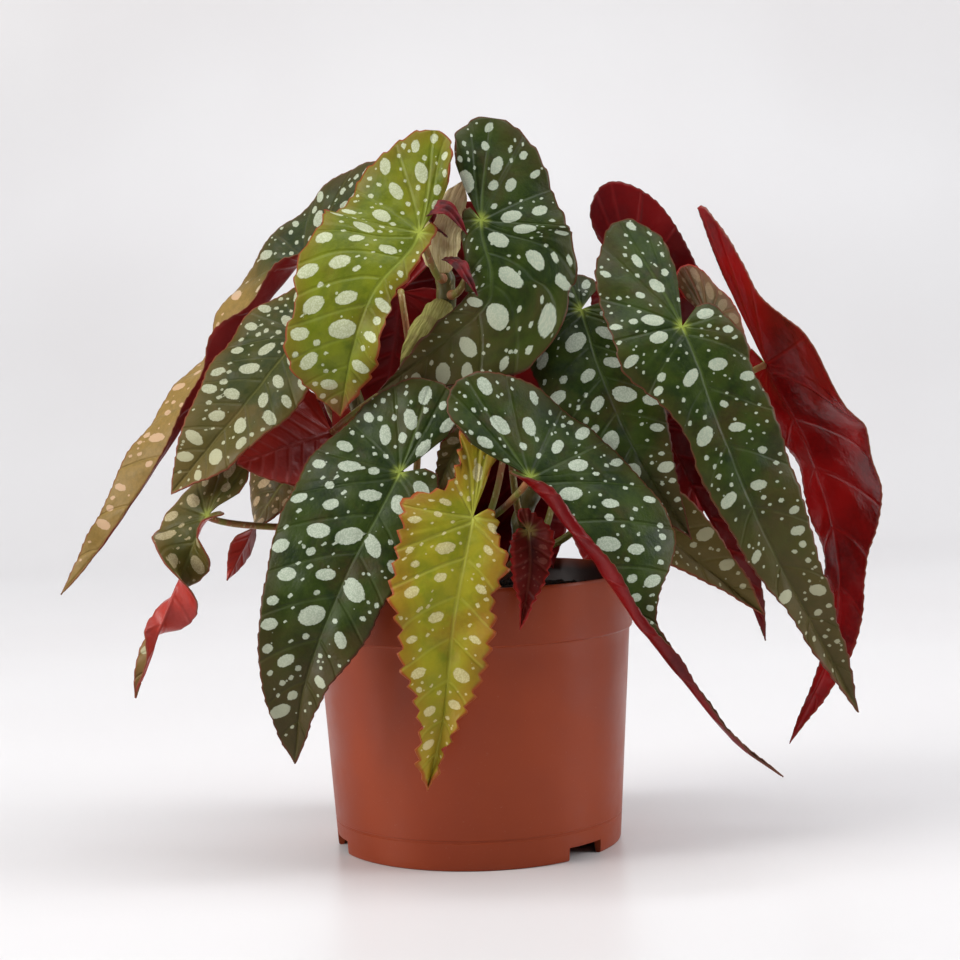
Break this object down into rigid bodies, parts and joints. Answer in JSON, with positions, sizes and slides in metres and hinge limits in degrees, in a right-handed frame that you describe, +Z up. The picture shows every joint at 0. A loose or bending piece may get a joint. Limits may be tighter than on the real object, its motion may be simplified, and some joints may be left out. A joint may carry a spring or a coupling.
{
  "type": "potted polka dot begonia",
  "caption": "Potted cane begonia with drooping wing-shaped leaves, silver spots above and crimson beneath, in a round terracotta-coloured plastic nursery pot.",
  "frame": {"origin": "on the ground under the middle of the whole plant's bounding box; the pot stands on Z = 0", "axes": "+Z up; +X to the right seen from the front, along the widest spread of the leaves; -Y is the front"},
  "size_m": [0.3062, 0.1633, 0.2664],
  "materials": {
    "pot_plastic": "injection-moulded polypropylene, satin, terracotta brown",
    "soil": "moist dark peat-based potting mix, crumbly",
    "cane": "fresh green-brown begonia cane, satin",
    "petiole": "fresh leaf stalk, green to pink, satin",
    "leaf_green": "dark green blade with silvery spots, satin; crimson beneath",
    "leaf_olive": "olive green blade with silvery spots, satin; crimson beneath",
    "leaf_lime": "young yellow-green blade with pale spots, satin; red beneath",
    "leaf_tan": "brown-green ageing blade with pinkish spots, satin",
    "leaf_crimson": "leaf seen from its crimson underside, satin",
    "stipule": "dry papery sheath, tan"
  },
  "bodies": {
    "root": {"pot": "pot_plastic", "potting_soil": "soil", "cane_main": "cane", "cane_right": "cane", "cane_left": "cane", "cane_front": "cane", "leaf_top_center": "leaf_green", "petiole_top_center": "petiole", "leaf_top_left": "leaf_lime", "petiole_top_left": "petiole", "leaf_back_left": "leaf_tan", "petiole_back_left": "petiole", "leaf_left_upper": "leaf_olive", "petiole_left_upper": "petiole", "leaf_left": "leaf_olive", "petiole_left": "petiole", "leaf_front_left": "leaf_green", "petiole_front_left": "petiole", "leaf_front_young": "leaf_lime", "petiole_front_young": "petiole", "leaf_front_right": "leaf_green", "petiole_front_right": "petiole", "leaf_right_inner": "leaf_green", "petiole_right_inner": "petiole", "leaf_right_center": "leaf_green", "petiole_right_center": "petiole", "leaf_right_large": "leaf_olive", "petiole_right_large": "petiole", "leaf_far_right": "leaf_crimson", "petiole_far_right": "petiole", "leaf_back_right_upper": "leaf_crimson", "petiole_back_right_upper": "petiole", "leaf_back_right_side": "leaf_tan", "petiole_back_right_side": "petiole", "leaf_right_folded": "leaf_crimson", "petiole_right_folded": "petiole", "leaf_left_folded": "leaf_crimson", "petiole_left_folded": "petiole", "leaf_left_small": "leaf_olive", "petiole_left_small": "petiole", "leaf_inner_back": "leaf_crimson", "petiole_inner_back": "petiole", "leaf_front_red": "leaf_crimson", "petiole_front_red": "petiole", "leaf_center_red": "leaf_crimson", "petiole_center_red": "petiole", "leaf_back_center": "leaf_green", "petiole_back_center": "petiole", "leaf_back_left_low": "leaf_green", "petiole_back_left_low": "petiole", "leaf_back_right_low": "leaf_olive", "petiole_back_right_low": "petiole", "leaf_back_low": "leaf_green", "petiole_back_low": "petiole", "stipule_top": "stipule", "stipule_hanging": "stipule", "stipule_front": "stipule"}
  },
  "joints": []
}
